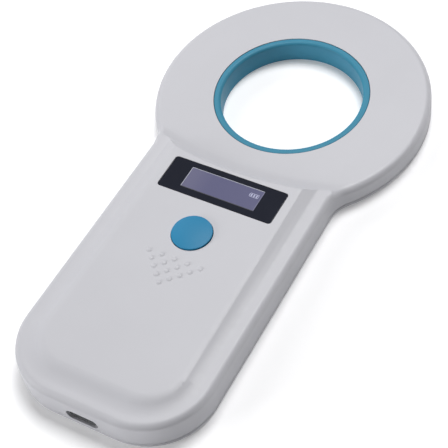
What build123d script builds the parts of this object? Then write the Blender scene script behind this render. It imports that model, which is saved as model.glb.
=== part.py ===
"""Hand-held microchip scanner: ring head with a lined bore, flat handle with display and button.

Millimetres. +Z is up out of the face, the back lies on Z = 0, the origin is the centre of the
bore on the back, and the handle runs towards -Y.
"""

import math
import os

from build123d import *

# ---- outline --------------------------------------------------------------------------------
HEAD_R = 43.5
HALF_WIDTH = 30.2
HANDLE_END = 125.2
CORNER_R = 20.0
NOTCH_R = 11.0

# ---- heights of the face ----------------------------------------------------------------------
HEAD_TOP = 7.5
RIM_TOP = 8.9          # rim of the handle where it meets the head
RIM_Y = -34.0          # the place along the handle where RIM_TOP is measured
RIM_TILT = 1.07        # degrees that the handle's face rises towards its free end
PLATEAU_STEP = 1.8
TALLEST = 16.0         # above every part of the face
SEAM_Z = 1.6           # parting plane, and the thickness of the back shell's floor

# ---- the sweep from the head up to the handle -----------------------------------------------
SWEEP_CENTRE_Y = 76.3
SWEEP_START_R = 107.0
SWEEP_CURVE_R = 8.0
SWEEP_RISE = 6.0
SWEEP_EDGE_R = 1.4       # rounding where the sweep meets the plateau

# ---- plateau that carries the display and the button -----------------------------------------
PLATEAU_HALF = 21.8
PLATEAU_END = 116.3
PLATEAU_R = 10.5
SLOPE_RUN = 3.9

# ---- shells -----------------------------------------------------------------------------------
WALL = 1.8
EDGE_R = 2.0
SEAM_V = 0.2
LAP_GAP = 0.05
LAP_T = 1.0
LAP_TOP = 3.2

# ---- bore and liner ---------------------------------------------------------------------------
BORE_R = 22.35
LINER_OUT_R = 23.9
LINER_LIP_R = 24.55
LIP_Z = 5.9
GROOVE = 0.12
WELL_WALL = 1.3

# ---- display ----------------------------------------------------------------------------------
WINDOW_X, WINDOW_Y, WINDOW_T = 38.1, 12.2, 1.2
WINDOW_C = -44.8
WINDOW_CORNER = 1.0
APERTURE_X, APERTURE_Y = 27.0, 8.8
DISPLAY_C = -44.4
GLASS_X, GLASS_Y, GLASS_T = 30.0, 11.0, 1.4
GLASS_TOP = -1.85      # from the plateau's face down to the panel
FIT = 0.1

# ---- button and switch --------------------------------------------------------------------------
BUTTON_C = -62.9
CAP_R = 6.1
CAP_GAP = 0.18
CAP_RISE = 0.6          # how far the cap's edge stands above the plateau
CAP_EDGE_R, CAP_DOME = 0.2, 0.5
STEM_R, SKIRT_IN_R = 2.0, 5.0
FLANGE_R, FLANGE_Z, FLANGE_H = 7.3, 8.3, 0.7
SWITCH = 6.0
PLUNGER_R = 1.75
PLUNGER_TOP = 8.7
DOME_R, DOME_H, DOME_T, DOME_Z = 1.6, 0.68, 0.1, 5.6

# ---- raised dots --------------------------------------------------------------------------------
DOT_ROWS = 5
DOT_PITCH_X, DOT_PITCH_Y = 4.24, 2.2
DOT_TOP_Y = -73.1
DOT_R, DOT_H = 1.0, 0.36

# ---- circuit board --------------------------------------------------------------------------------
PCB_HALF = 21.0
PCB_FAR, PCB_NEAR = -37.0, -121.5
PCB_Z, PCB_T = 3.2, 1.2
PCB_TOP = PCB_Z + PCB_T

# ---- USB port ---------------------------------------------------------------------------------
PORT_Z = 4.15
SLOT_X, SLOT_Z = 10.2, 3.8
PORT_X, PORT_H, PORT_T = 8.94, 3.26, 0.3
PORT_MOUTH, PORT_BACK = -124.8, -117.6

# ---- fixings ------------------------------------------------------------------------------------
HEAD_SCREW_R = 37.9
CASE_SCREWS = [(HEAD_SCREW_R * math.cos(a), HEAD_SCREW_R * math.sin(a))
               for a in (math.radians(45), math.radians(135))]
CASE_SCREWS += [(side * 24.6, y) for y in (-47.0, -104.0) for side in (-1, 1)]
PCB_SCREWS = [(side * 18.0, y) for y in (-54.5, -79.5) for side in (-1, 1)]
POST_TOP = 3.0
LABEL = (-20.0, 20.0, -106.0, -82.0)
BOSS_R = 2.6

# ---- battery --------------------------------------------------------------------------------------
CELL_X, CELL_Z = 34.0, 4.4
CELL_FAR, CELL_NEAR = -82.5, -116.0
PAD_T = 0.3
PLUG_X, PLUG_Y = 7.6, -78.6

# ---- antenna --------------------------------------------------------------------------------------
FORMER_IN, FORMER_OUT = 29.5, 34.0
COIL_IN, COIL_OUT = 30.1, 33.4
FORMER_TOP = 5.2
FLANGE_T = 0.6
COIL_LOW, COIL_HIGH = SEAM_Z + FLANGE_T, FORMER_TOP - FLANGE_T
ANTENNA_PLUG_Y = -40.0


# ---- outline and body forms -----------------------------------------------------------------------

def plan(inset=0.0):
    """Outline of the scanner seen from above, moved inwards by inset."""
    low = -(HANDLE_END - inset)
    handle = Pos(0, low / 2) * Rectangle(2 * (HALF_WIDTH - inset), -low)
    handle = fillet(handle.vertices().group_by(Axis.Y)[0], CORNER_R - inset)
    body = Circle(HEAD_R - inset) + handle
    notches = [v for v in body.vertices() if -45 < v.Y < -20]
    return fillet(notches, NOTCH_R + inset)


def handle_plane(height=0.0):
    """Plane of the handle's rim, raised by height; its Y axis points at the head."""
    tilt = math.radians(RIM_TILT)
    up = Vector(0, math.sin(tilt), math.cos(tilt))
    return Plane(origin=Vector(0, RIM_Y, RIM_TOP) + up * height, x_dir=(1, 0, 0), z_dir=up)


def face_z(y):
    """Height of the plateau's face at y."""
    return RIM_TOP + PLATEAU_STEP + math.tan(math.radians(RIM_TILT)) * (RIM_Y - y)


def on_face(x, y, height=0.0):
    """Location on the plateau's plane above (x, y), raised by height."""
    return handle_plane(PLATEAU_STEP + height) * Pos(x, y - RIM_Y)


def round_end(half, end, radius):
    """Rectangle from under the head down to end, with its two far corners rounded."""
    high, low = 24.0, -(end + RIM_Y)
    shape = Pos(0, (high + low) / 2) * Rectangle(2 * half, high - low)
    return fillet(shape.vertices().group_by(Axis.Y)[0], radius)


def sweep_cutter(drop):
    """What is cut from the handle so that it sweeps down into the head's plane."""
    low = HEAD_TOP - drop
    run = math.sqrt(2 * SWEEP_CURVE_R * SWEEP_RISE - SWEEP_RISE ** 2)
    turn = math.degrees(math.acos(1 - SWEEP_RISE / SWEEP_CURVE_R))
    centre = (SWEEP_START_R, low + SWEEP_CURVE_R)
    top = low + SWEEP_RISE
    profile = make_face([
        Line((0, low), (SWEEP_START_R, low)),
        CenterArc(centre, SWEEP_CURVE_R, -90, turn),
        Polyline((SWEEP_START_R + run, top), (0, top), (0, low)),
    ])
    return Pos(0, SWEEP_CENTRE_Y) * revolve(Plane.XZ * profile, Axis.Z, 360)


def rim_block(inset, drop):
    """Handle up to its rim's plane, cut back by the sweep."""
    block = extrude(plan(inset), TALLEST)
    block &= extrude(handle_plane(-drop) * Rectangle(200, 400), -25)
    block &= Pos(0, -100) * Box(100, 160, 60)
    return block - sweep_cutter(drop)


def plateau_block(drop):
    """Raised field with sloping sides, standing on the rim's plane."""
    foot = handle_plane(-drop) * round_end(PLATEAU_HALF + SLOPE_RUN, PLATEAU_END + SLOPE_RUN,
                                           PLATEAU_R + SLOPE_RUN)
    top = handle_plane(PLATEAU_STEP - drop) * round_end(PLATEAU_HALF, PLATEAU_END, PLATEAU_R)
    return loft([foot, top], ruled=True) - sweep_cutter(drop)


def top_outline(body):
    """Edges where the body's side wall meets its face."""
    edges = []
    for edge in body.edges():
        middle = edge @ 0.5
        if middle.Z < HEAD_TOP - 0.2:
            continue
        faces = [f for f in body.faces() if any(edge.is_same(e) for e in f.edges())]
        if any(abs(f.normal_at(middle).Z) < 0.05 for f in faces):
            edges.append(edge)
    return edges


def outer_form():
    """The whole outer shape, with its rounded upper edge."""
    body = extrude(plan(), HEAD_TOP) + rim_block(0, 0)
    body = fillet(top_outline(body), EDGE_R) + plateau_block(0)
    near_head = [e for e in body.edges() if RIM_Y - 5 < (e @ 0.5).Y < RIM_Y and abs((e @ 0.5).X) < 1]
    return fillet(max(near_head, key=lambda e: (e @ 0.5).Z), SWEEP_EDGE_R)


def cavity_form():
    """The space inside the walls, above the seam plane."""
    inner = extrude(plan(WALL), HEAD_TOP - WALL) + rim_block(WALL, WALL)
    raised = plateau_block(WALL) & extrude(plan(WALL), TALLEST)
    return (inner + raised) - Box(200, 400, 2 * SEAM_Z)


# ---- small shapes -----------------------------------------------------------------------------------

def disc(radius, low, high, x=0.0, y=0.0):
    """Upright cylinder from low to high."""
    return Pos(x, y, low) * extrude(Circle(radius), high - low)


def tube(outer, inner, low, high, x=0.0, y=0.0):
    """Upright ring from low to high."""
    return Pos(x, y, low) * extrude(Circle(outer) - Circle(inner), high - low)


def block(x0, x1, y0, y1, z0, z1):
    """Box between two corners."""
    return Pos((x0 + x1) / 2, (y0 + y1) / 2, (z0 + z1) / 2) * Box(x1 - x0, y1 - y0, z1 - z0)


def chip(x, y, across, along, height, low=PCB_TOP, edge=0.15):
    """A component package standing on the board, with its top edges broken."""
    body = block(x - across / 2, x + across / 2, y - along / 2, y + along / 2, low, low + height)
    return chamfer(body.faces().sort_by(Axis.Z)[-1].edges(), edge)


def slot_prism(width, height, y0, y1):
    """Prism along Y with the port's rounded-end section."""
    section = Plane.XZ.offset(-y1) * Pos(0, PORT_Z) * SlotOverall(width, height)
    return extrude(section, y1 - y0)


def wire(points, radius, bend):
    """Round wire along straight runs joined by arcs."""
    path = FilletPolyline(*points, radius=bend)
    start = Plane(origin=path @ 0, z_dir=path % 0)
    return sweep(start * Circle(radius), path=path)


# ---- shells -----------------------------------------------------------------------------------------

def raised_dots():
    """Domes in an inverted triangle under the button."""
    sphere_r = (DOT_R ** 2 + DOT_H ** 2) / (2 * DOT_H)
    dome = Pos(0, 0, DOT_H - sphere_r) * Sphere(sphere_r) & Cylinder(DOT_R + 0.2, 1.0)
    for row in range(DOT_ROWS):
        count = DOT_ROWS - row
        for i in range(count):
            x = (i - (count - 1) / 2) * DOT_PITCH_X
            yield on_face(x, DOT_TOP_Y - row * DOT_PITCH_Y) * dome


def window_recess():
    """Pocket for the window and the opening behind it."""
    depth = WINDOW_T + 0.15
    pocket = Box(WINDOW_X + 2 * FIT, WINDOW_Y + 2 * FIT, depth)
    pocket = fillet(pocket.edges().filter_by(Axis.Z), WINDOW_CORNER + FIT)
    pocket = on_face(0, WINDOW_C, -depth / 2 + 0.01) * pocket
    return pocket + on_face(0, DISPLAY_C) * Box(APERTURE_X, APERTURE_Y, 12)


def case_screw_tip(y):
    """Height of a case screw's tip: the head is thinner than the handle."""
    return 6.2 if y < 0 else 5.1


def screw_bosses():
    """Posts for the case screws and the board screws, before they are trimmed to the cavity."""
    posts = [disc(BOSS_R, POST_TOP, TALLEST, x, y) for x, y in CASE_SCREWS]
    posts += [disc(2.0, PCB_TOP, TALLEST, x, y) for x, y in PCB_SCREWS]
    return posts


def front_shell():
    """White front half: face, side walls, bosses, dots and openings."""
    cavity = cavity_form()
    shell = outer_form() - cavity - Box(200, 400, 2 * SEAM_Z)
    seam_edges = [e for e in shell.faces().sort_by(Axis.Z)[0].outer_wire().edges()]
    shell = chamfer(seam_edges, SEAM_V)
    for boss in screw_bosses():
        shell += boss & cavity
    shell += tube(LINER_OUT_R + WELL_WALL, LINER_OUT_R - 1, SEAM_Z, HEAD_TOP - 1)
    for dot in raised_dots():
        shell += dot
    shell -= disc(LINER_OUT_R + GROOVE, -1, TALLEST)
    shell -= disc(LINER_LIP_R + GROOVE, LIP_Z - 0.05, TALLEST)
    shell -= window_recess()
    shell -= disc(CAP_R + CAP_GAP, 6, TALLEST, 0, BUTTON_C)
    shell -= slot_prism(SLOT_X, SLOT_Z, -HANDLE_END - 1, -HANDLE_END + WALL + 0.5)
    for x, y in CASE_SCREWS:
        shell -= disc(1.05, 0, case_screw_tip(y) + 0.1, x, y)
    for x, y in PCB_SCREWS:
        shell -= disc(0.85, 0, 7.6, x, y)
    return shell


def back_shell():
    """White back half: floor, lapping rib, posts, antenna locating rib and sound holes."""
    floor = extrude(plan(), SEAM_Z)
    floor = fillet(floor.faces().sort_by(Axis.Z)[0].outer_wire().edges(), 0.8)
    floor = chamfer(floor.faces().sort_by(Axis.Z)[-1].outer_wire().edges(), SEAM_V)
    rib_in = WALL + LAP_GAP
    rib = extrude(plan(rib_in) - plan(rib_in + LAP_T), LAP_TOP)
    rib -= block(-SLOT_X / 2 - 0.6, SLOT_X / 2 + 0.6, -HANDLE_END, -HANDLE_END + 6, SEAM_Z, 9)
    shell = floor + rib
    for x, y in CASE_SCREWS:
        shell += disc(3.0 if y < 0 else BOSS_R, 1, POST_TOP, x, y)
    for x, y in PCB_SCREWS:
        shell += tube(2.9, 2.2, 1, PCB_Z, x, y)
    shell += tube(FORMER_IN - 0.1, FORMER_IN - 1.1, 1, PCB_Z)
    shell -= disc(LINER_OUT_R + 0.05, -1, 9)
    for x, y in CASE_SCREWS:
        shell -= disc(1.25, -1, 9, x, y) + disc(2.35, -1, 1.4, x, y)
    shell -= disc(6.5, 1.0, SEAM_Z + 0.01, 0, BUTTON_C)
    for angle in range(0, 360, 60):
        a = math.radians(angle)
        shell -= disc(0.5, -1, 2, 2.4 * math.cos(a), BUTTON_C + 2.4 * math.sin(a))
    shell -= block(*LABEL, -1, 0.2)
    return shell


def rating_label():
    """Blank label in a shallow recess of the back."""
    return block(*LABEL, 0.05, 0.2)


def bore_liner():
    """Teal ring that lines the bore, with a flat lip flush with the head's face."""
    top = HEAD_TOP - 0.05
    lip, mouth = LINER_LIP_R - 0.3, BORE_R + 1.0
    profile = make_face([
        Polyline((BORE_R, top - 1.0), (BORE_R, 0.3), (BORE_R + 0.3, 0), (LINER_OUT_R, 0),
                 (LINER_OUT_R, LIP_Z), (LINER_LIP_R, LIP_Z), (LINER_LIP_R, top - 0.3)),
        CenterArc((lip, top - 0.3), 0.3, 0, 90),
        Line((lip, top), (mouth, top)),
        CenterArc((mouth, top - 1.0), 1.0, 90, 90),
    ])
    return revolve(Plane.XZ * profile, Axis.Z, 360)


# ---- display ------------------------------------------------------------------------------------------

def display_window():
    """Dark clear window set flush in the plateau."""
    pane = Box(WINDOW_X, WINDOW_Y, WINDOW_T)
    pane = fillet(pane.edges().filter_by(Axis.Z), WINDOW_CORNER)
    return on_face(0, WINDOW_C, -0.03 - WINDOW_T / 2) * pane


def window_gasket():
    """Thin adhesive frame under the window."""
    top = -0.03 - WINDOW_T
    depth = WINDOW_T + 0.15 - 0.01 + top
    frame = Box(WINDOW_X - 0.6, WINDOW_Y - 0.6, depth)
    frame = fillet(frame.edges().filter_by(Axis.Z), WINDOW_CORNER)
    frame = on_face(0, WINDOW_C, top - depth / 2) * frame
    return frame - on_face(0, DISPLAY_C) * Box(APERTURE_X + 1, APERTURE_Y + 0.6, 12)


def oled_glass():
    """Display panel."""
    return on_face(0, DISPLAY_C, GLASS_TOP - GLASS_T / 2) * Box(GLASS_X, GLASS_Y, GLASS_T)


def oled_holder():
    """Plastic frame that holds the panel up off the board."""
    outer = block(-16, 16, DISPLAY_C - 6.2, DISPLAY_C + 5.9, PCB_TOP, 12)
    inner = block(-13, 13, DISPLAY_C - 4, DISPLAY_C + 4, 0, 20)
    cut = on_face(0, DISPLAY_C, GLASS_TOP - GLASS_T + 10) * Box(80, 80, 20)
    return outer - inner - cut


def oled_flex():
    """Flat tail from the panel down to the board."""
    edge = DISPLAY_C - 6.3
    high = face_z(edge) + GLASS_TOP - GLASS_T
    strip = 0.12
    drop = block(-6, 6, edge - strip, edge, PCB_TOP, high + 0.7)
    foot = block(-6, 6, edge - 2.2, edge - strip, PCB_TOP, PCB_TOP + strip)
    tail = block(-6, 6, edge - strip, DISPLAY_C - GLASS_Y / 2 - 0.05, high + 0.58, high + 0.7)
    return drop + foot + tail


# ---- button and switch ----------------------------------------------------------------------------------

def button_cap():
    """Teal button: shallow dome, skirt, retaining flange and stem."""
    edge = face_z(BUTTON_C) + CAP_RISE
    under = edge - CAP_RISE - 1.35
    shoulder = CAP_R - CAP_EDGE_R
    sphere_r = (shoulder ** 2 + CAP_DOME ** 2) / (2 * CAP_DOME)
    from_axis = math.degrees(math.asin(shoulder / sphere_r))
    profile = make_face([
        Polyline((0, PLUNGER_TOP), (STEM_R, PLUNGER_TOP), (STEM_R, under), (SKIRT_IN_R, under),
                 (SKIRT_IN_R, FLANGE_Z), (FLANGE_R, FLANGE_Z), (FLANGE_R, FLANGE_Z + FLANGE_H),
                 (CAP_R, FLANGE_Z + FLANGE_H), (CAP_R, edge - CAP_EDGE_R)),
        CenterArc((shoulder, edge - CAP_EDGE_R), CAP_EDGE_R, 0, 90),
        CenterArc((0, edge + CAP_DOME - sphere_r), sphere_r, 90 - from_axis, from_axis),
        Line((0, edge + CAP_DOME), (0, PLUNGER_TOP)),
    ])
    return Pos(0, BUTTON_C) * revolve(Plane.XZ * profile, Axis.Z, 360)


def switch_body():
    """Tact switch housing with its plunger well."""
    half = SWITCH / 2
    body = block(-half, half, BUTTON_C - half, BUTTON_C + half, PCB_TOP, 7.9)
    body = chamfer(body.edges().filter_by(Axis.Z), 0.4)
    return body - disc(PLUNGER_R + 0.07, 5.6, 9, 0, BUTTON_C)


def switch_plunger():
    """Round actuator that the button's stem rests on."""
    pin = disc(PLUNGER_R, 6.3, PLUNGER_TOP, 0, BUTTON_C)
    return chamfer(pin.faces().sort_by(Axis.Z)[-1].edges(), 0.2)


def switch_dome():
    """Domed snap disc under the plunger."""
    sphere_r = (DOME_R ** 2 + DOME_H ** 2) / (2 * DOME_H)
    centre = Pos(0, BUTTON_C, DOME_Z + DOME_H - sphere_r)
    sheet = centre * (Sphere(sphere_r) - Sphere(sphere_r - DOME_T))
    return sheet & block(-DOME_R, DOME_R, BUTTON_C - DOME_R, BUTTON_C + DOME_R, DOME_Z, PLUNGER_TOP)


# ---- board, port and components ---------------------------------------------------------------------------

def main_pcb():
    """Circuit board with rounded near corners, screw holes and a notch for the port."""
    board = Pos(0, (PCB_FAR + PCB_NEAR) / 2) * Rectangle(2 * PCB_HALF, PCB_FAR - PCB_NEAR)
    board = fillet(board.vertices().group_by(Axis.Y)[0], 12.0)
    board = Pos(0, 0, PCB_Z) * extrude(board, PCB_T)
    for x, y in PCB_SCREWS:
        board -= disc(1.05, 0, 9, x, y)
    half = PORT_X / 2 + 0.15
    return board - block(-half, half, PCB_NEAR - 1, PORT_BACK + 0.15, 0, 9)


def usb_shell():
    """Drawn metal shell of the port, closed at its back."""
    outer = slot_prism(PORT_X, PORT_H, PORT_MOUTH, PORT_BACK)
    return outer - slot_prism(PORT_X - 2 * PORT_T, PORT_H - 2 * PORT_T,
                              PORT_MOUTH - 1, PORT_BACK - PORT_T)


def usb_tongue():
    """Contact tongue and its base inside the port."""
    back = PORT_BACK - PORT_T
    base = slot_prism(PORT_X - 2 * PORT_T, PORT_H - 2 * PORT_T, back - 1.2, back)
    return base + block(-3.35, 3.35, PORT_MOUTH + 0.9, back - 1.2, PORT_Z - 0.35, PORT_Z + 0.35)


def screw(x, y, low, head_r, head_h, shank_r, tip):
    """Pan-head screw driven upwards, with a cross recess in its head."""
    body = disc(head_r, low, low + head_h, x, y) + disc(shank_r, low, tip, x, y)
    body = fillet(body.faces().sort_by(Axis.Z)[0].edges(), 0.25)
    recess = Box(head_r * 1.1, 0.5, 1.2) + Box(0.5, head_r * 1.1, 1.2)
    return body - Pos(x, y, low) * recess


def buzzer_parts():
    """Sounder: a brass disc on the floor's recess and the ceramic on top of it."""
    yield "buzzer_disc", disc(7.5, SEAM_Z, SEAM_Z + 0.25, 0, BUTTON_C)
    yield "buzzer_ceramic", disc(5.0, SEAM_Z + 0.25, SEAM_Z + 0.5, 0, BUTTON_C)


def board_components():
    """Packages on the board's upper face."""
    yield "controller_chip", chip(-13, -68.5, 7, 7, 1.4)
    yield "reader_chip", chip(13, -68.5, 4, 9.9, 1.6)
    yield "memory_chip", chip(0, -72.8, 4.9, 3.9, 1.4)
    yield "charger_chip", chip(-10.5, -118.7, 3.0, 1.6, 1.1)
    yield "crystal", chip(-12, -76.8, 3.2, 2.5, 0.8)
    yield "inductor", chip(12, -77.5, 4.0, 4.0, 2.4)
    yield "charge_led", chip(7.4, -119.2, 1.6, 0.8, 0.7)
    for i in range(6):
        yield f"chip_capacitor_{i + 1}", chip(-7.5 + 2.4 * i, -77.5, 1.25, 2.0, 0.9)


# ---- battery and its leads ------------------------------------------------------------------------------------

def battery_cell():
    """Pouch cell lying on the board."""
    low = PCB_TOP + PAD_T
    cell = block(-CELL_X / 2, CELL_X / 2, CELL_NEAR, CELL_FAR, low, low + CELL_Z)
    return fillet(cell.edges().filter_by(Axis.Y), 1.6)


def battery_pad():
    """Foam tape between the cell and the board."""
    return block(-13, 13, CELL_NEAR + 4, CELL_FAR - 4, PCB_TOP, PCB_TOP + PAD_T)


def battery_link():
    """Header on the board, its plug, and the two leads from the cell."""
    yield "battery_header", block(PLUG_X - 2, PLUG_X + 2, PLUG_Y, PLUG_Y + 3.2, PCB_TOP, PCB_TOP + 3)
    yield "battery_plug", block(PLUG_X - 1.7, PLUG_X + 1.7, PLUG_Y - 2, PLUG_Y, 5.2, 7.2)
    for name, side in (("battery_lead_red", 1), ("battery_lead_black", -1)):
        lead = Plane.XZ.offset(2 - PLUG_Y) * Pos(PLUG_X + side * 0.9, 6.2) * Circle(0.5)
        yield name, extrude(lead, PLUG_Y - 2 - CELL_FAR)


# ---- antenna ----------------------------------------------------------------------------------------

def antenna_former():
    """Bobbin ring that carries the coil round the bore."""
    ring = tube(FORMER_OUT, FORMER_IN, SEAM_Z, FORMER_TOP)
    return ring - tube(FORMER_OUT + 1, COIL_IN, COIL_LOW, COIL_HIGH)


def antenna_coil():
    """Winding, as one closed ring."""
    return tube(COIL_OUT, COIL_IN, COIL_LOW, COIL_HIGH)


def antenna_tape(angle):
    """Short strip of tape over the winding, from angle on."""
    strip = Pos(COIL_OUT + 0.06, (COIL_LOW + COIL_HIGH) / 2) * Rectangle(0.12, COIL_HIGH - COIL_LOW)
    return Rot(0, 0, angle) * revolve(Plane.XZ * strip, Axis.Z, 14)


def antenna_link():
    """Header on the board and the two leads from the winding."""
    yield "antenna_header", block(-20.1, -16.9, -44.4, ANTENNA_PLUG_Y, PCB_TOP, PCB_TOP + 2.4)
    for i, (angle, x) in enumerate(((238.0, -19.2), (241.5, -17.8))):
        a = math.radians(angle)
        start = (COIL_OUT * math.cos(a), COIL_OUT * math.sin(a), 3.4)
        out = (37.0 * math.cos(a), 37.0 * math.sin(a), 3.9)
        points = [start, out, (x, -36.2, 5.6), (x, ANTENNA_PLUG_Y, 5.6)]
        yield f"antenna_lead_{i + 1}", wire(points, 0.3, [1.2, 1.2])


# ---- the whole scanner --------------------------------------------------------------------------------

def all_nodes():
    """Every sub-part, as pairs of name and solid."""
    for make in (front_shell, back_shell, bore_liner, display_window, window_gasket, oled_glass,
                 oled_holder, oled_flex, button_cap, switch_body, switch_plunger, switch_dome,
                 main_pcb, usb_shell, usb_tongue, battery_cell, battery_pad, antenna_former,
                 antenna_coil, rating_label):
        yield make.__name__, make()
    for group in (buzzer_parts, board_components, battery_link, antenna_link):
        yield from group()
    for i in range(4):
        yield f"antenna_tape_{i + 1}", antenna_tape(20 + 90 * i)
    for i, (x, y) in enumerate(CASE_SCREWS):
        yield f"case_screw_{i + 1}", screw(x, y, 0.15, 2.2, 1.25, 1.05, case_screw_tip(y))
    for i, (x, y) in enumerate(PCB_SCREWS):
        yield f"pcb_screw_{i + 1}", screw(x, y, PCB_Z - 1.2, 1.8, 1.2, 0.85, 7.4)


def main():
    os.makedirs("parts", exist_ok=True)
    for name, solid in all_nodes():
        export_step(solid, f"parts/{name}.step")


main()
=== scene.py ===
"""Looks of a hand-held microchip scanner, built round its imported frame.

The scanner lies on its back on a pale floor. Every length is in metres.
"""

import logging
import math
from dataclasses import dataclass, field
from enum import Enum
from typing import Callable, Iterable

import bmesh
import bpy
from mathutils import Matrix, Quaternion, Vector


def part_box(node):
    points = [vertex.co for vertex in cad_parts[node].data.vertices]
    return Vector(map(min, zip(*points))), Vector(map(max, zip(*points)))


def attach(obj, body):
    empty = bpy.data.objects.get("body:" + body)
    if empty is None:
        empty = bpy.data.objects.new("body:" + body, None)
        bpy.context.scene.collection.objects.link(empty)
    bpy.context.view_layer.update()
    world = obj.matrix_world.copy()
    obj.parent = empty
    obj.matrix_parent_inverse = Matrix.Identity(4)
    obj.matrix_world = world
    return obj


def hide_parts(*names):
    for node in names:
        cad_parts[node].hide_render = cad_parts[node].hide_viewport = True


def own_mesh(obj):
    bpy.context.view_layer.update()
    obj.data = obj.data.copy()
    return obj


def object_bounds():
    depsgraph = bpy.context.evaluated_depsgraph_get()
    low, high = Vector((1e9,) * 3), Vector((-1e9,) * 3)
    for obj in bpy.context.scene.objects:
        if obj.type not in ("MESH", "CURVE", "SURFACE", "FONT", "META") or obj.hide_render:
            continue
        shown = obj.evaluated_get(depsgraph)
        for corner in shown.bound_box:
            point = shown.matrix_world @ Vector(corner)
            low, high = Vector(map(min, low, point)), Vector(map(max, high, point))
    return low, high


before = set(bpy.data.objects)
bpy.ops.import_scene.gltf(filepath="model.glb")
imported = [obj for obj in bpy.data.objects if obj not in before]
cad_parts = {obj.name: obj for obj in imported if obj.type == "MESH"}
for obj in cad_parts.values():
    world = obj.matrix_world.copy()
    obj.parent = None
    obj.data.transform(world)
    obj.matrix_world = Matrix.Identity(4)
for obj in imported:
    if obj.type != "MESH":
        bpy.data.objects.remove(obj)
CAD_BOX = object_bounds()

MM = 0.001
FACE_TILT = math.radians(1.07)
HOUSING = "housing"
BUTTON = "button"

logging.basicConfig(level=logging.INFO, format="%(message)s")
log = logging.getLogger("scanner")

Colour = tuple[float, float, float, float]

# Noise texture values mostly lie between these two.
NOISE_LOW = 0.3
NOISE_HIGH = 0.7

# Sockets of a colour mix node, which has several with one name.
MIX_SHARE = 0
MIX_FIRST = 6
MIX_SECOND = 7
MIX_RESULT = 2

# Bands of a wave texture repeat every pi / (WAVE_RATE * scale).
WAVE_RATE = 10

# Gloss varies this many times finer than colour.
GLOSS_FINENESS = 9
GLOSS_DETAIL = 4.0
GRAIN_DETAIL = 2.0
LEAST_ROUGHNESS = 0.02

# Points closer than MERGE are one point of a CAD shape; SEAM and LEVEL are rounding slack.
MERGE = 0.0005 * MM
SEAM = 1e-7
LEVEL = 1e-9
ROUND_PROFILE = 0.5
CORNER_STEPS = 6
RIM_STEPS = 3

# Layers of the display, in half sheet thicknesses above the window's face.
PANE_LAYER = 0
LIT_LAYER = 1
MARK_LAYER = 2


class Shade(Enum):
    """The turn in degrees from which a piece's edges stay crisp."""

    FLAT = 0
    SOFT = 35


# ---------------------------------------------------------------------------------------------
# Finishes
# ---------------------------------------------------------------------------------------------


class NodeBench:
    """A material's node tree with short calls for adding and joining nodes."""

    def __init__(self, name: str) -> None:
        """Start a material that has only its shader and output."""
        self.material = bpy.data.materials.new(name)
        self.material.use_nodes = True
        self.tree = self.material.node_tree
        self.shader = self.tree.nodes["Principled BSDF"]

    def add(self, kind: str, **settings: object) -> bpy.types.Node:
        """Add a node.

        Args:
            kind: the node's type name.
            settings: attributes to set on the node.

        Returns:
            The new node.
        """
        node = self.tree.nodes.new(kind)
        for key, value in settings.items():
            setattr(node, key, value)
        return node

    def join(self, source: bpy.types.NodeSocket, target: bpy.types.NodeSocket) -> None:
        """Link two sockets."""
        self.tree.links.new(source, target)

    def place(self) -> bpy.types.NodeSocket:
        """Return the object coordinates, which lie in the frame in metres."""
        return self.add("ShaderNodeTexCoord").outputs["Object"]

    def noise(self, size: float, detail: float = 3.0) -> bpy.types.Node:
        """Add fractal noise.

        Args:
            size: width of one blotch in metres.
            detail: octaves.

        Returns:
            The noise node, read from object coordinates.
        """
        node = self.add("ShaderNodeTexNoise")
        node.inputs["Scale"].default_value = 1.0 / size
        node.inputs["Detail"].default_value = detail
        self.join(self.place(), node.inputs["Vector"])
        return node

    def spread(self, source: bpy.types.NodeSocket, low: float, high: float) -> bpy.types.NodeSocket:
        """Map noise to a range.

        Args:
            source: a noise value.
            low: what NOISE_LOW becomes.
            high: what NOISE_HIGH becomes.

        Returns:
            The mapped value.
        """
        return self.ramp(source, (NOISE_LOW, NOISE_HIGH), (low, high), "LINEAR")

    def ramp(self, source: bpy.types.NodeSocket, span: tuple[float, float],
             ends: tuple[float, float], kind: str = "SMOOTHSTEP") -> bpy.types.NodeSocket:
        """Map a value from one range to another and hold it at the ends.

        Args:
            source: the value.
            span: the two source values where the result reaches its ends.
            ends: the result there.
            kind: the node's way of getting from one end to the other.

        Returns:
            The mapped value.
        """
        node = self.add("ShaderNodeMapRange", interpolation_type=kind)
        node.inputs["From Min"].default_value, node.inputs["From Max"].default_value = span
        node.inputs["To Min"].default_value, node.inputs["To Max"].default_value = ends
        self.join(source, node.inputs["Value"])
        return node.outputs["Result"]

    def blend(self, share: bpy.types.NodeSocket, first: Colour,
              second: Colour | bpy.types.NodeSocket) -> bpy.types.NodeSocket:
        """Mix two colours.

        Args:
            share: 0 gives the first colour and 1 the second.
            first: a constant colour.
            second: a constant colour, or a socket that gives one.

        Returns:
            The mixed colour.
        """
        node = self.add("ShaderNodeMix", data_type="RGBA")
        node.inputs[MIX_FIRST].default_value = first
        if isinstance(second, bpy.types.NodeSocket):
            self.join(second, node.inputs[MIX_SECOND])
        else:
            node.inputs[MIX_SECOND].default_value = second
        self.join(share, node.inputs[MIX_SHARE])
        return node.outputs[MIX_RESULT]

    def grain(self, sizes: Iterable[float], depth: float, strength: float) -> None:
        """Give the shader a fine bump.

        Args:
            sizes: widths of the grain in metres, coarse to fine.
            depth: height of the grain in metres.
            strength: share of the full effect.
        """
        last = None
        for size in sizes:
            bump = self.add("ShaderNodeBump")
            bump.inputs["Strength"].default_value = strength
            bump.inputs["Distance"].default_value = depth
            self.join(self.noise(size, GRAIN_DETAIL).outputs["Fac"], bump.inputs["Height"])
            if last is not None:
                self.join(last.outputs["Normal"], bump.inputs["Normal"])
            last = bump
        self.join(last.outputs["Normal"], self.shader.inputs["Normal"])


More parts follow.
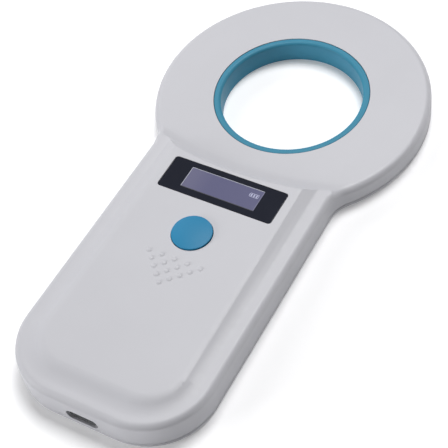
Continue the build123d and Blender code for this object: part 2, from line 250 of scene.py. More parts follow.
def scaled(colour: Colour, factor: float) -> Colour:
    """Return the colour with its three channels multiplied by factor."""
    return (colour[0] * factor, colour[1] * factor, colour[2] * factor, colour[3])


@dataclass(frozen=True)
class Finish:
    """A surface with mottled colour, uneven gloss and a fine grain."""

    name: str
    colour: Colour
    roughness: float = 0.5
    metallic: float = 0.0
    mottle: float = 0.02
    mottle_size: float = 6 * MM
    gloss_spread: float = 0.04
    grain_sizes: tuple[float, ...] = (0.5 * MM, 0.16 * MM)
    grain_depth: float = 0.006 * MM
    grain_strength: float = 0.5
    specular: float = 0.5
    coat: float = 0.0
    coat_roughness: float = 0.1
    ior: float = 1.5

    def make(self) -> bpy.types.Material:
        """Build the material.

        Returns:
            A new material with this finish.
        """
        bench = NodeBench(self.name)
        shader = bench.shader
        cloud = bench.noise(self.mottle_size).outputs["Fac"]
        share = bench.spread(cloud, 0.0, 1.0)
        light = scaled(self.colour, 1 + self.mottle)
        dark = scaled(self.colour, 1 - self.mottle)
        bench.join(bench.blend(share, dark, light), shader.inputs["Base Color"])
        fine = bench.noise(self.mottle_size / GLOSS_FINENESS, GLOSS_DETAIL).outputs["Fac"]
        low = max(LEAST_ROUGHNESS, self.roughness - self.gloss_spread)
        high = self.roughness + self.gloss_spread
        bench.join(bench.spread(fine, low, high), shader.inputs["Roughness"])
        bench.grain(self.grain_sizes, self.grain_depth, self.grain_strength)
        shader.inputs["Metallic"].default_value = self.metallic
        shader.inputs["Specular IOR Level"].default_value = self.specular
        shader.inputs["IOR"].default_value = self.ior
        shader.inputs["Coat Weight"].default_value = self.coat
        shader.inputs["Coat Roughness"].default_value = self.coat_roughness
        self.trim(bench)
        return bench.material

    def trim(self, bench: NodeBench) -> None:
        """Leave the plain finish as it is; richer finishes add to it here."""


@dataclass(frozen=True)
class ScreenFinish(Finish):
    """Dim display glass with a faint grid of cells and a greyer left end."""

    cell: float = 0.19 * MM
    line_level: float = 0.93
    cell_level: float = 1.03
    grey: Colour = (0.145, 0.143, 0.235, 1)
    grey_from: float = -12.0 * MM
    grey_to: float = -3.0 * MM

    def trim(self, bench: NodeBench) -> None:
        """Darken thin lines between the cells and grey the left end."""
        lines = None
        for axis in ("X", "Y"):
            wave = bench.add("ShaderNodeTexWave", wave_type="BANDS", bands_direction=axis)
            wave.inputs["Scale"].default_value = math.pi / (WAVE_RATE * self.cell)
            bench.join(bench.place(), wave.inputs["Vector"])
            if lines is None:
                lines = wave.outputs["Fac"]
            else:
                both = bench.add("ShaderNodeMath", operation="MULTIPLY")
                bench.join(lines, both.inputs[0])
                bench.join(wave.outputs["Fac"], both.inputs[1])
                lines = both.outputs[0]
        share = bench.spread(lines, 0.0, 1.0)
        line, cell = scaled(self.colour, self.line_level), scaled(self.colour, self.cell_level)
        lit = bench.blend(share, line, cell)
        across = bench.add("ShaderNodeSeparateXYZ")
        bench.join(bench.place(), across.inputs[0])
        fade = bench.ramp(across.outputs["X"], (self.grey_from, self.grey_to), (0.0, 1.0))
        bench.join(bench.blend(fade, self.grey, lit), bench.shader.inputs["Base Color"])


@dataclass(frozen=True)
class FloorFinish(Finish):
    """Pale sweep, lit a little from within like a light table, more so far away."""

    glow: float = 0.21
    far_glow: float = 1.0
    far_from: float = 0.3
    far_to: float = 1.2
    glow_colour: Colour = (1, 1, 1, 1)

    def trim(self, bench: NodeBench) -> None:
        """Add a glow that grows with the distance from the middle."""
        reach = bench.add("ShaderNodeVectorMath", operation="LENGTH")
        bench.join(bench.place(), reach.inputs[0])
        level = bench.ramp(reach.outputs["Value"], (self.far_from, self.far_to),
                           (self.glow, self.far_glow))
        bench.join(level, bench.shader.inputs["Emission Strength"])
        bench.shader.inputs["Emission Color"].default_value = self.glow_colour


WHITE = Finish("white_moulded_plastic", (0.55, 0.55, 0.585, 1), roughness=0.46, mottle=0.012,
               mottle_size=18 * MM, gloss_spread=0.03, grain_strength=0.35, specular=0.4)
TEAL_LINER = Finish("teal_liner_plastic", (0.052, 0.245, 0.365, 1), roughness=0.42, mottle=0.02,
                    mottle_size=9 * MM, gloss_spread=0.03, grain_strength=0.25, specular=0.15)
TEAL_BUTTON = Finish("teal_button_plastic", (0.018, 0.215, 0.400, 1), roughness=0.48, mottle=0.02,
                     mottle_size=5 * MM, gloss_spread=0.03, grain_strength=0.25, specular=0.25)
PANE = Finish("dark_window_acrylic", (0.018, 0.020, 0.030, 1), roughness=0.10, mottle=0.05,
              mottle_size=12 * MM, gloss_spread=0.02, grain_sizes=(4 * MM,), grain_depth=0.002 * MM,
              grain_strength=0.2)
SCREEN = ScreenFinish("lit_display_glass", (0.122, 0.122, 0.225, 1), roughness=0.22, mottle=0.04,
                      gloss_spread=0.02, grain_sizes=(3 * MM,), grain_depth=0.002 * MM,
                      grain_strength=0.2)
# Painted highlight: pale sheets that stand for light caught by the display glass's edges, brighter on
# the far and left edges and dimmer on the right.
EDGE_HIGHLIGHT_PAINT = Finish("painted_edge_highlight", (0.42, 0.43, 0.50, 1), roughness=0.25, mottle=0.15,
                     mottle_size=3 * MM, grain_strength=0.2)
DIM_EDGE_HIGHLIGHT_PAINT = Finish("painted_dim_edge_highlight", (0.20, 0.20, 0.30, 1), roughness=0.25, mottle=0.1,
                     mottle_size=3 * MM, grain_strength=0.2)
SYMBOL = Finish("display_symbol", (0.42, 0.43, 0.60, 1), roughness=0.3, mottle=0.03, grain_strength=0.1)
BLACK_MOULDED = Finish("black_moulded_plastic", (0.016, 0.016, 0.017, 1), roughness=0.5, mottle=0.06)
GREY_MOULDED = Finish("grey_moulded_plastic", (0.12, 0.12, 0.125, 1), roughness=0.45, mottle=0.04)
PORT_INSERT = Finish("port_insert_plastic", (0.34, 0.34, 0.35, 1), roughness=0.5, mottle=0.04)
FOAM = Finish("black_foam", (0.02, 0.02, 0.021, 1), roughness=0.9, mottle=0.12, mottle_size=1 * MM,
              grain_sizes=(0.3 * MM,), grain_depth=0.05 * MM, grain_strength=0.8, specular=0.2)
STEEL = Finish("plated_steel", (0.55, 0.56, 0.58, 1), roughness=0.28, metallic=1.0, mottle=0.04,
               mottle_size=1.5 * MM, gloss_spread=0.06, grain_strength=0.3)
GOLD = Finish("gold_contact", (0.78, 0.52, 0.20, 1), roughness=0.25, metallic=1.0, mottle=0.05,
              mottle_size=0.6 * MM, grain_strength=0.2)
BRASS = Finish("brass_sheet", (0.62, 0.43, 0.17, 1), roughness=0.35, metallic=1.0, mottle=0.06)
COPPER = Finish("enamelled_copper", (0.45, 0.16, 0.06, 1), roughness=0.3, metallic=0.8, mottle=0.1,
                mottle_size=1 * MM, coat=0.5)
BOARD = Finish("green_solder_mask", (0.010, 0.105, 0.040, 1), roughness=0.38, mottle=0.12,
               mottle_size=3 * MM, grain_sizes=(0.8 * MM, 0.3 * MM), grain_depth=0.02 * MM, coat=0.3)
AMBER = Finish("amber_film", (0.42, 0.17, 0.02, 1), roughness=0.25, mottle=0.08, mottle_size=2 * MM)
FOIL = Finish("pouch_foil", (0.55, 0.55, 0.57, 1), roughness=0.4, metallic=0.9, mottle=0.06,
              mottle_size=4 * MM, grain_sizes=(2 * MM, 0.6 * MM), grain_depth=0.06 * MM)
LABEL = Finish("silver_label", (0.58, 0.58, 0.60, 1), roughness=0.42, metallic=0.3, mottle=0.02)
LABEL_INK = Finish("label_ink", (0.03, 0.03, 0.035, 1), roughness=0.55, mottle=0.05)
FERRITE = Finish("ferrite", (0.05, 0.05, 0.055, 1), roughness=0.6, mottle=0.15, mottle_size=1 * MM)
CERAMIC = Finish("fired_ceramic", (0.45, 0.33, 0.22, 1), roughness=0.5, mottle=0.08, mottle_size=1 * MM)
PALE_CERAMIC = Finish("pale_ceramic", (0.75, 0.75, 0.72, 1), roughness=0.5, mottle=0.04)
FORMER = Finish("natural_nylon", (0.62, 0.61, 0.56, 1), roughness=0.5, mottle=0.03)
RED = Finish("red_insulation", (0.45, 0.012, 0.010, 1), roughness=0.45, mottle=0.05)
FLOOR = FloorFinish("pale_floor", (0.86, 0.86, 0.87, 1), roughness=0.85, mottle=0.004,
                    mottle_size=0.2, grain_sizes=(5 * MM,), grain_depth=0.02 * MM,
                    grain_strength=0.1, specular=0.1)


class PaintShop:
    """Makes each finish's material once and hands it out again."""

    def __init__(self) -> None:
        """Start with nothing made."""
        self.made: dict[str, bpy.types.Material] = {}

    def coat(self, piece: bpy.types.Object, finish: Finish) -> None:
        """Give a piece one finish in every material slot that it has.

        Args:
            piece: the object to dress.
            finish: the finish it gets.
        """
        if finish.name not in self.made:
            self.made[finish.name] = finish.make()
        material = self.made[finish.name]
        if not piece.material_slots:
            piece.data.materials.append(material)
        for place in piece.material_slots:
            place.material = material


PAINT = PaintShop()


# ---------------------------------------------------------------------------------------------
# Mesh work
# ---------------------------------------------------------------------------------------------


def finish_piece(mesh: bmesh.types.BMesh, name: str, finish: Finish, body: str,
                 shade: Shade = Shade.SOFT, stands_for: Iterable[str] = ()) -> bpy.types.Object:
    """Turn a bmesh into a dressed piece that rides on a body.

    Args:
        mesh: the finished shape in the frame, freed here.
        name: the piece's name.
        finish: what it is made of.
        body: the body it rides on.
        shade: edges sharper than this many degrees stay crisp.
        stands_for: CAD nodes that it replaces.

    Returns:
        The new object.
    """
    for face in mesh.faces:
        face.smooth = shade is not Shade.FLAT
    limit = math.radians(shade.value)
    for edge in mesh.edges:
        edge.smooth = len(edge.link_faces) == 2 and edge.calc_face_angle(math.pi) < limit
    data = bpy.data.meshes.new(name)
    mesh.to_mesh(data)
    mesh.free()
    piece = bpy.data.objects.new(name, data)
    bpy.context.scene.collection.objects.link(piece)
    if shade is not Shade.FLAT:
        weighted = piece.modifiers.new("even_shading", "WEIGHTED_NORMAL")
        weighted.mode = "FACE_AREA"
        weighted.keep_sharp = True
    PAINT.coat(piece, finish)
    if stands_for:
        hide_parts(*stands_for)
    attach(piece, body)
    log.info("%-24s %6d faces  %s", name, len(data.polygons), finish.name)
    return piece


def merged_copy(node: str) -> bmesh.types.BMesh:
    """Copy a CAD node's triangles and join them along their shared edges.

    Args:
        node: the CAD node's name.

    Returns:
        The joined copy.
    """
    mesh = bmesh.new()
    mesh.from_mesh(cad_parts[node].data)
    bmesh.ops.remove_doubles(mesh, verts=mesh.verts, dist=MERGE)
    bmesh.ops.dissolve_degenerate(mesh, edges=mesh.edges, dist=MERGE)
    return mesh


def bevel(mesh: bmesh.types.BMesh, edges: list[bmesh.types.BMEdge], offset: float,
          steps: int) -> None:
    """Round some edges of a shape.

    Args:
        mesh: the shape.
        edges: the edges.
        offset: how far the rounding reaches along each face.
        steps: faces across the rounding; 1 makes a chamfer.
    """
    bmesh.ops.bevel(mesh, geom=edges, offset=offset, offset_type="OFFSET", segments=steps,
                    profile=ROUND_PROFILE, affect="EDGES", material=-1)


def rounded_plate(width: float, height: float, thick: float, corner: float,
                  edge: float) -> bmesh.types.BMesh:
    """Make a plate on the XY plane, its top at Z = 0.

    Args:
        width: size along X.
        height: size along Y.
        thick: size along Z, downwards.
        corner: radius of the four upright edges.
        edge: radius of the upper rim.

    Returns:
        The plate, centred on the origin.
    """
    mesh = bmesh.new()
    bmesh.ops.create_cube(mesh, size=1.0)
    bmesh.ops.scale(mesh, vec=(width, height, thick), verts=mesh.verts)
    bmesh.ops.translate(mesh, vec=(0, 0, -thick / 2), verts=mesh.verts)
    upright = [e for e in mesh.edges if abs(e.verts[0].co.z - e.verts[1].co.z) > thick / 2]
    bevel(mesh, upright, corner, CORNER_STEPS)
    if edge > 0:
        rim = [e for e in mesh.edges if all(abs(v.co.z) < LEVEL for v in e.verts)]
        bevel(mesh, rim, edge, RIM_STEPS)
    return mesh


def spun(profile: Iterable[tuple[float, float]], steps: int, closed: bool) -> bmesh.types.BMesh:
    """Turn a profile about the Z axis.

    Args:
        profile: points (radius, height), in order from low to high on the outside.
        steps: faces round the turn.
        closed: whether the profile's last point joins its first.

    Returns:
        The turned shape, its doubles merged and its faces outwards.
    """
    mesh = bmesh.new()
    verts = [mesh.verts.new((r, 0.0, z)) for r, z in profile]
    edges = [mesh.edges.new(pair) for pair in zip(verts, verts[1:])]
    if closed:
        edges.append(mesh.edges.new((verts[-1], verts[0])))
    bmesh.ops.spin(mesh, geom=verts + edges, cent=(0, 0, 0), axis=(0, 0, 1),
                   angle=2 * math.pi, steps=steps, use_merge=True)
    bmesh.ops.remove_doubles(mesh, verts=mesh.verts, dist=SEAM)
    bmesh.ops.recalc_face_normals(mesh, faces=mesh.faces)
    return mesh


def arc(centre: tuple[float, float], radius: float, start: float, end: float,
        count: int) -> list[tuple[float, float]]:
    """Points along an arc of a profile.

    Args:
        centre: (radius, height) of the arc's centre.
        radius: the arc's own radius.
        start: first angle in degrees, 0 pointing outwards and 90 up.
        end: last angle in degrees.
        count: number of steps.

    Returns:
        count + 1 points.
    """
    points = []
    for i in range(count + 1):
        angle = math.radians(start + (end - start) * i / count)
        points.append((centre[0] + radius * math.cos(angle), centre[1] + radius * math.sin(angle)))
    return points


def face_matrix(x: float, y: float, top: float) -> Matrix:
    """Place something on the handle's tilted face.

    Args:
        x: place across the handle.
        y: place along the handle.
        top: height of the face there.

    Returns:
        The transform from the flat plate's own place.
    """
    return Matrix.Translation((x, y, top)) @ Matrix.Rotation(-FACE_TILT, 4, "X")


# ---------------------------------------------------------------------------------------------
# Sub-assemblies
# ---------------------------------------------------------------------------------------------


@dataclass
class Case:
    """The two white shells that close round everything else."""

    front: str = "front_shell"
    back: str = "back_shell"
    flat: float = math.radians(0.3)
    crest_soft: float = 1.3 * MM
    foot_soft: float = 1.8 * MM
    soft_steps: int = 4
    # Z of a face normal below which a face belongs to a wall, not to the slope.
    least_up: float = 0.8
    slope_turn: float = math.radians(24.8)
    turn_slack: float = math.radians(3.0)
    plateau_foot: float = 9.0 * MM
    field_half: float = 20.0 * MM
    field_end: float = -100.0 * MM

    def build(self) -> None:
        """Make smooth copies of both shells in their moulded finish."""
        for node, slot in ((self.front, "case_white"), (self.back, "case_white_back")):
            shell = merged_copy(node)
            bmesh.ops.dissolve_limit(shell, angle_limit=self.flat, verts=shell.verts,
                                     edges=shell.edges)
            if node == self.front:
                self.soften(shell)
            finish_piece(shell, f"{node}_moulding", WHITE, HOUSING, Shade.SOFT, [node])

    def soften(self, mesh: bmesh.types.BMesh) -> None:
        """Round the creases at the foot and the crest of the plateau's slope.

        Args:
            mesh: the front shell, its flat faces already joined.
        """
        for convex, offset in ((True, self.crest_soft), (False, self.foot_soft)):
            creases = []
            for edge in mesh.edges:
                if len(edge.link_faces) != 2 or min(v.co.z for v in edge.verts) < self.plateau_foot:
                    continue
                if min(f.normal.z for f in edge.link_faces) < self.least_up:
                    continue
                middle = (edge.verts[0].co + edge.verts[1].co) / 2
                if abs(middle.x) < self.field_half and middle.y > self.field_end:
                    continue
                turn = edge.calc_face_angle_signed()
                if abs(abs(turn) - self.slope_turn) < self.turn_slack and (turn > 0) == convex:
                    creases.append(edge)
            log.info("softening %d creases by %.2f mm", len(creases), offset / MM)
            bevel(mesh, creases, offset, self.soft_steps)


@dataclass
class BoreLiner:
    """The teal ring that lines the reading bore."""

    node: str = "bore_liner"
    lip: float = 0.65 * MM
    lip_height: float = 1.5 * MM
    mouth_round: float = 1.0 * MM
    rim_round: float = 0.3 * MM
    foot: float = 0.3 * MM
    wall: float = 1.55 * MM
    steps: int = 192
    rim_steps: int = 5
    mouth_steps: int = 10

    def build(self) -> None:
        """Turn the liner's section about the bore."""
        low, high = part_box(self.node)
        outer, top = high.x, high.z
        inner = outer - self.lip - self.wall
        sleeve = inner + self.wall
        profile = [(inner, low.z + self.foot), (inner + self.foot, low.z),
                   (sleeve - self.foot / 2, low.z), (sleeve, low.z + self.foot / 2),
                   (sleeve, top - self.lip_height), (outer, top - self.lip_height)]
        profile += arc((outer - self.rim_round, top - self.rim_round), self.rim_round,
                       0, 90, self.rim_steps)
        profile += arc((inner + self.mouth_round, top - self.mouth_round), self.mouth_round,
                       90, 180, self.mouth_steps)
        finish_piece(spun(profile, self.steps, True), "bore_liner_ring", TEAL_LINER, HOUSING,
                     Shade.SOFT, [self.node])


@dataclass
class DisplayUnit:
    """Opaque dark window with the lit area, painted highlight and shade along that area's edges, and a
    battery symbol laid on its face as thin sheets.
    """

    window: str = "display_window"
    window_size: tuple[float, float, float] = (38.1 * MM, 12.2 * MM, 1.2 * MM)
    corner: float = 1.0 * MM
    edge: float = 0.12 * MM
    screen_size: tuple[float, float] = (24.5 * MM, 7.7 * MM)
    screen_corner: float = 0.2 * MM
    screen_shift: float = 0.28 * MM
    # Width of the painted highlight and shade strips along the lit area's edges.
    border: float = 0.2 * MM
    border_corner: float = 0.2 * MM / 3
    sheet: float = 0.02 * MM
    symbol_at: tuple[float, float] = (9.9 * MM, 1.55 * MM)
    symbol_size: tuple[float, float] = (2.9 * MM, 1.45 * MM)
    symbol_line: float = 0.14 * MM
    symbol_corner: float = 0.02 * MM
    bars: int = 3
    bar_share: float = 0.55
    # What the outline and its gap take of the symbol's size, in line widths.
    lines_across: float = 2.6
    lines_along: float = 3.4
    place: Matrix = field(default_factory=Matrix, init=False)

    def build(self) -> None:
        """Make the window, lay the lit area and its strips of painted highlight and shade on it, then
        the symbol.
        """
        low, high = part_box(self.window)
        centre = (low + high) / 2
        width, height, thick = self.window_size
        top = centre.z + thick / 2 * math.cos(FACE_TILT)
        self.place = face_matrix(centre.x, centre.y, top)
        pane = rounded_plate(width, height, thick, self.corner, self.edge)
        self.put(pane, "window_pane", PANE, 0, 0, PANE_LAYER, [self.window])
        across, along = self.screen_size
        screen = rounded_plate(across, along, self.sheet, self.screen_corner, 0)
        self.put(screen, "display_area", SCREEN, 0, self.screen_shift, LIT_LAYER, [])
        self.lay_painted_edge_light(across, along)
        self.symbol()

    def put(self, mesh: bmesh.types.BMesh, name: str, finish: Finish, x: float, y: float,
            layer: int, stands_for: list[str]) -> None:
        """Lay a flat shape on the window.

        Args:
            mesh: the shape, its top at Z = 0.
            name: the piece's name.
            finish: its finish.
            x: shift across the window from its centre.
            y: shift along the handle.
            layer: how many half sheet thicknesses it stands above the window.
            stands_for: CAD nodes that it replaces.
        """
        lift = Matrix.Translation((x, y, layer * self.sheet / 2))
        bmesh.ops.transform(mesh, matrix=self.place @ lift, verts=mesh.verts)
        finish_piece(mesh, name, finish, HOUSING, Shade.SOFT, stands_for)

    def lay_painted_edge_light(self, across: float, along: float) -> None:
        """Lay strips of painted highlight along the lit area's far and left edges, a dimmer one along
        its right edge, and painted shade along its near edge.

        Args:
            across: the lit area's size along X.
            along: the lit area's size along Y.
        """
        line = self.border
        far, near = self.screen_shift + along / 2, self.screen_shift - along / 2
        # The far, left and right strips are painted highlight, the right one dimmer; the near one is
        # painted shade in black moulded plastic.
        strips = {
            "display_edge_far_painted_highlight": (EDGE_HIGHLIGHT_PAINT, across, line, 0.0, far - line / 2),
            "display_edge_left_painted_highlight": (EDGE_HIGHLIGHT_PAINT, line, along, (line - across) / 2, self.screen_shift),
            "display_edge_right_dim_painted_highlight": (DIM_EDGE_HIGHLIGHT_PAINT, line, along, (across - line) / 2, self.screen_shift),
            "display_edge_near_painted_shade": (BLACK_MOULDED, across, line, 0.0, near - line / 2),
        }
        for name, (finish, wide, high, x, y) in strips.items():
            strip = rounded_plate(wide, high, self.sheet, self.border_corner, 0)
            self.put(strip, name, finish, x, y, MARK_LAYER, [])

    def outline(self, across: float, along: float, line: float) -> bmesh.types.BMesh:
        """Make a thin rectangular frame.

        Args:
            across: outer size along X.
            along: outer size along Y.
            line: width of the frame's sides.

        Returns:
            The frame with its top at Z = 0.
        """
        mesh = bmesh.new()
        bmesh.ops.create_grid(mesh, x_segments=1, y_segments=1, size=0.5)
        bmesh.ops.scale(mesh, vec=(across, along, 1), verts=mesh.verts)
        middle = mesh.faces[:]
        bmesh.ops.inset_region(mesh, faces=middle, thickness=line, use_boundary=True,
                               use_even_offset=True)
        bmesh.ops.delete(mesh, geom=middle, context="FACES")
        grown = bmesh.ops.extrude_face_region(mesh, geom=mesh.faces[:])
        moved = [g for g in grown["geom"] if isinstance(g, bmesh.types.BMVert)]
        bmesh.ops.translate(mesh, vec=(0, 0, -self.sheet), verts=moved)
        bmesh.ops.recalc_face_normals(mesh, faces=mesh.faces)
        return mesh

    def symbol(self) -> None:
        """Make the battery symbol: an outline, its cap and the charge bars."""
        across, along = self.symbol_size
        x, y = self.symbol_at
        line = self.symbol_line
        self.put(self.outline(across, along, line), "battery_symbol_outline", SYMBOL,
                 x, y, MARK_LAYER, [])
        cap = rounded_plate(line, along / 2, self.sheet, self.symbol_corner, 0)
        self.put(cap, "battery_symbol_cap", SYMBOL, x - across / 2 - line / 2, y, MARK_LAYER, [])
        pitch = (across - self.lines_across * line) / self.bars
        wide, high = pitch * self.bar_share, along - self.lines_along * line
        for i in range(self.bars):
            bar = rounded_plate(wide, high, self.sheet, self.symbol_corner, 0)
            offset = (i - (self.bars - 1) / 2) * pitch
            self.put(bar, f"battery_symbol_bar_{i + 1}", SYMBOL, x + offset, y, MARK_LAYER, [])


@dataclass
class PushButton:
    """The round teal button with its flange, skirt and stem."""

    node: str = "button_cap"
    cap_r: float = 6.1 * MM
    edge_r: float = 0.2 * MM
    dome: float = 0.5 * MM
    flange: float = 0.7 * MM
    skirt_in: float = 5.0 * MM
    stem_r: float = 2.0 * MM
    stem_up: float = 0.4 * MM
    under: float = 2.45 * MM
    steps: int = 128
    edge_steps: int = 6
    dome_steps: int = 14

    def build(self) -> None:
        """Turn the cap's section about its own axis."""
        low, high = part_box(self.node)
        centre = (low + high) / 2
        edge = high.z - self.dome
        shoulder = self.cap_r - self.edge_r
        sphere = (shoulder ** 2 + self.dome ** 2) / (2 * self.dome)
        reach = math.degrees(math.asin(shoulder / sphere))
        ceiling = high.z - self.under
        profile = [(0.0, low.z + self.stem_up), (self.stem_r, low.z + self.stem_up),
                   (self.stem_r, ceiling), (self.skirt_in, ceiling), (self.skirt_in, low.z),
                   (high.x - centre.x, low.z), (high.x - centre.x, low.z + self.flange),
                   (self.cap_r, low.z + self.flange)]
        profile += arc((shoulder, edge - self.edge_r), self.edge_r, 0, 90 - reach / 2,
                       self.edge_steps)
        profile += arc((0, high.z - sphere), sphere, 90 - reach, 90, self.dome_steps)[1:]
        mesh = spun(profile, self.steps, False)
        bmesh.ops.translate(mesh, vec=(centre.x, centre.y, 0), verts=mesh.verts)
        finish_piece(mesh, "button_cap_moulding", TEAL_BUTTON, BUTTON, Shade.SOFT, [self.node])


@dataclass
class SnapDome:
    """The sprung metal dome that flattens under the button's plunger."""

    node: str = "switch_dome"
    joint: str = "button_press"
    travel: float = 0.3 * MM

    def build(self) -> None:
        """Copy the dome into a mesh of its own."""
        dome = finish_piece(merged_copy(self.node), "snap_dome", STEEL, HOUSING, Shade.SOFT,
                            [self.node])
        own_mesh(dome)


@dataclass
class ChargePort:
    """The metal-shelled port in the handle's end, with its contacts."""

    shell: str = "usb_shell"
    tongue: str = "usb_tongue"
    half_tongue: float = 0.35 * MM
    contacts: int = 12
    contact_size: tuple[float, float, float] = (0.25 * MM, 3.2 * MM, 0.05 * MM)
    contact_pitch: float = 0.5 * MM
    contact_inset: float = 0.4 * MM
    contact_chamfer: float = 0.01 * MM

    def build(self) -> None:
        """Smooth the shell and tongue, and lay the contacts on both sides of the tongue."""
        finish_piece(merged_copy(self.shell), "port_shell", STEEL, HOUSING, Shade.SOFT,
                     [self.shell])
        finish_piece(merged_copy(self.tongue), "port_tongue", PORT_INSERT, HOUSING, Shade.SOFT,
                     [self.tongue])
        low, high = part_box(self.tongue)
        middle = (low.z + high.z) / 2
        _, deep, thick = self.contact_size
        for side, lift in (("upper", self.half_tongue + thick), ("lower", -self.half_tongue)):
            row = bmesh.new()
            for i in range(self.contacts):
                x = (i - (self.contacts - 1) / 2) * self.contact_pitch
                made = bmesh.ops.create_cube(row, size=1.0)["verts"]
                bmesh.ops.scale(row, vec=self.contact_size, verts=made)
                shift = (x, low.y + self.contact_inset + deep / 2, middle + lift - thick / 2)
                bmesh.ops.translate(row, vec=shift, verts=made)
            bevel(row, row.edges[:], self.contact_chamfer, 1)
            finish_piece(row, f"port_contacts_{side}", GOLD, HOUSING, Shade.SOFT, [])


@dataclass
class BackLabel:
    """Blank rating label in the recess of the back, with a few printed rules."""

    node: str = "rating_label"
    margin: float = 1.6 * MM
    line: float = 0.3 * MM
    line_corner: float = 0.05 * MM
    ink: float = 0.02 * MM
    rows: int = 4

    def build(self) -> None:
        """Print plain rules on the label's underside, one along each end and the rows between."""
        PAINT.coat(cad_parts[self.node], LABEL)
        low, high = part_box(self.node)
        centre = (low + high) / 2
        across = high.x - low.x - 2 * self.margin
        along = high.y - low.y - 2 * self.margin
        for i in range(self.rows + 2):
            rule = rounded_plate(across, self.line, self.ink, self.line_corner, 0)
            y = centre.y - along / 2 + along * i / (self.rows + 1)
            bmesh.ops.translate(rule, vec=(centre.x, y, low.z), verts=rule.verts)
            finish_piece(rule, f"label_rule_{i + 1}", LABEL_INK, HOUSING, Shade.FLAT, [])


@dataclass
class Innards:
    """Every part that keeps its CAD shape and only gets a finish."""

    finishes: dict[str, Finish] = field(default_factory=lambda: {
        "window_gasket": FOAM, "oled_glass": SCREEN, "oled_holder": BLACK_MOULDED,
        "oled_flex": AMBER, "switch_body": BLACK_MOULDED, "switch_plunger": GREY_MOULDED,
        "main_pcb": BOARD, "battery_cell": FOIL, "battery_pad": FOAM,
        "antenna_former": FORMER, "antenna_coil": COPPER, "buzzer_disc": BRASS,
        "buzzer_ceramic": PALE_CERAMIC, "crystal": STEEL, "inductor": FERRITE,
        "charge_led": RED, "battery_lead_red": RED, "battery_lead_black": BLACK_MOULDED,
    })
    families: dict[str, Finish] = field(default_factory=lambda: {
        "antenna_tape": AMBER, "antenna_lead": COPPER, "antenna_header": BLACK_MOULDED,
        "chip_capacitor": CERAMIC, "case_screw": STEEL, "pcb_screw": STEEL,
    })

    def finish_of(self, node: str) -> Finish:
        """Return the finish for a node, by its name or its family's name."""
        if node in self.finishes:
            return self.finishes[node]
        for family, finish in self.families.items():
            if node.startswith(family):
                return finish
        return BLACK_MOULDED

    def build(self) -> None:
        """Dress every CAD node that still shows."""
        for node, piece in sorted(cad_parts.items()):
            if piece.hide_render or node == BackLabel.node:
                continue
            finish = self.finish_of(node)
            PAINT.coat(piece, finish)
            log.info("%-24s CAD shape      %s", node, finish.name)


# ---------------------------------------------------------------------------------------------
# Studio
# ---------------------------------------------------------------------------------------------


@dataclass(frozen=True)
class SoftLight:
    """A square soft light: its place, its side in metres and its power in watts."""

    name: str
    at: Vector
    size: float
    power: float


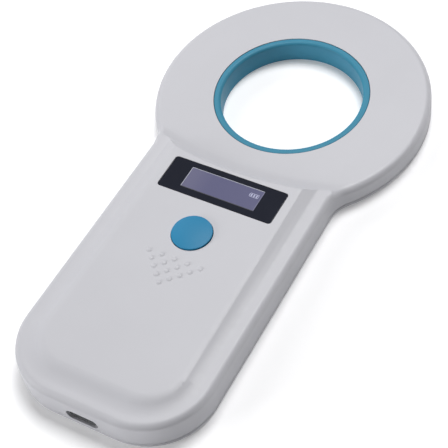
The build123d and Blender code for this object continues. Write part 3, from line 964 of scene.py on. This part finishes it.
@dataclass
class Studio:
    """Pale floor, soft lights and the camera."""

    camera_at: Vector = field(default_factory=lambda: Vector((0.1445, -0.2381, 0.3009)))
    aim: Vector = field(default_factory=lambda: Vector((0.00154, -0.04911, 0.0)))
    roll: float = math.radians(-10.75)
    lens: float = 102.84
    sensor: float = 36.0
    floor_size: float = 6.0
    floor_drop: float = 0.05 * MM
    ambient: float = 0.05
    backdrop: float = 0.95
    near_clip: float = 0.01
    lights: list[SoftLight] = field(default_factory=lambda: [
        SoftLight("top_soft", Vector((0.0, 0.45, 1.2)), 0.6, 15.0),
        SoftLight("key_soft", Vector((-0.9, 0.7, 0.8)), 0.35, 3.0),
        SoftLight("fill_soft", Vector((-0.85, -1.05, 0.35)), 0.5, 9.0),
    ])

    def build(self) -> None:
        """Set the floor, the lights, the surroundings and the camera."""
        self.lay_floor()
        for light in self.lights:
            self.hang(light)
        self.surround()
        self.stand_camera()

    def lay_floor(self) -> None:
        """Lay the floor just under the back."""
        mesh = bmesh.new()
        bmesh.ops.create_grid(mesh, x_segments=1, y_segments=1, size=self.floor_size / 2)
        bmesh.ops.translate(mesh, vec=(0, 0, CAD_BOX[0].z - self.floor_drop), verts=mesh.verts)
        data = bpy.data.meshes.new("floor")
        mesh.to_mesh(data)
        mesh.free()
        floor = bpy.data.objects.new("floor", data)
        bpy.context.scene.collection.objects.link(floor)
        PAINT.coat(floor, FLOOR)

    def hang(self, light: SoftLight) -> None:
        """Hang a light so that it looks where the camera looks.

        Args:
            light: the light.
        """
        lamp = bpy.data.lights.new(light.name, "AREA")
        lamp.size = light.size
        lamp.energy = light.power
        holder = bpy.data.objects.new(light.name, lamp)
        holder.location = light.at
        holder.rotation_mode = "QUATERNION"
        holder.rotation_quaternion = (self.aim - light.at).to_track_quat("-Z", "Y")
        bpy.context.scene.collection.objects.link(holder)

    def surround(self) -> None:
        """Give the surround one level for the camera and a much lower one for lighting.

        The camera sees the backdrop's level wherever it stands. Every other ray gets the
        ambient level, so the backdrop looks brighter than the light that it sheds.
        """
        world = bpy.data.worlds.new("surround")
        world.use_nodes = True
        ground = world.node_tree.nodes["Background"]
        ground.inputs["Color"].default_value = (1.0, 1.0, 1.0, 1.0)
        path = world.node_tree.nodes.new("ShaderNodeLightPath")
        level = world.node_tree.nodes.new("ShaderNodeMapRange")
        level.inputs["To Min"].default_value = self.ambient
        level.inputs["To Max"].default_value = self.backdrop
        world.node_tree.links.new(path.outputs["Is Camera Ray"], level.inputs["Value"])
        world.node_tree.links.new(level.outputs["Result"], ground.inputs["Strength"])
        bpy.context.scene.world = world
        bpy.context.scene.view_settings.view_transform = "Standard"

    def stand_camera(self) -> None:
        """Stand the camera over the handle's right side, turned a little about its axis."""
        data = bpy.data.cameras.new("camera")
        data.lens = self.lens
        data.sensor_width = self.sensor
        data.clip_start = self.near_clip
        camera = bpy.data.objects.new("camera", data)
        camera.location = self.camera_at
        camera.rotation_mode = "QUATERNION"
        level = (self.aim - self.camera_at).to_track_quat("-Z", "Y")
        camera.rotation_quaternion = level @ Quaternion((0, 0, 1), self.roll)
        bpy.context.scene.collection.objects.link(camera)
        bpy.context.scene.camera = camera


def main() -> None:
    """Build every sub-assembly, then the studio."""
    makers: list[Callable[[], None]] = [
        Case().build, BoreLiner().build, DisplayUnit().build, PushButton().build,
        SnapDome().build, ChargePort().build, BackLabel().build, Innards().build, Studio().build,
    ]
    for make in makers:
        make()


if __name__ == "__main__":
    main()
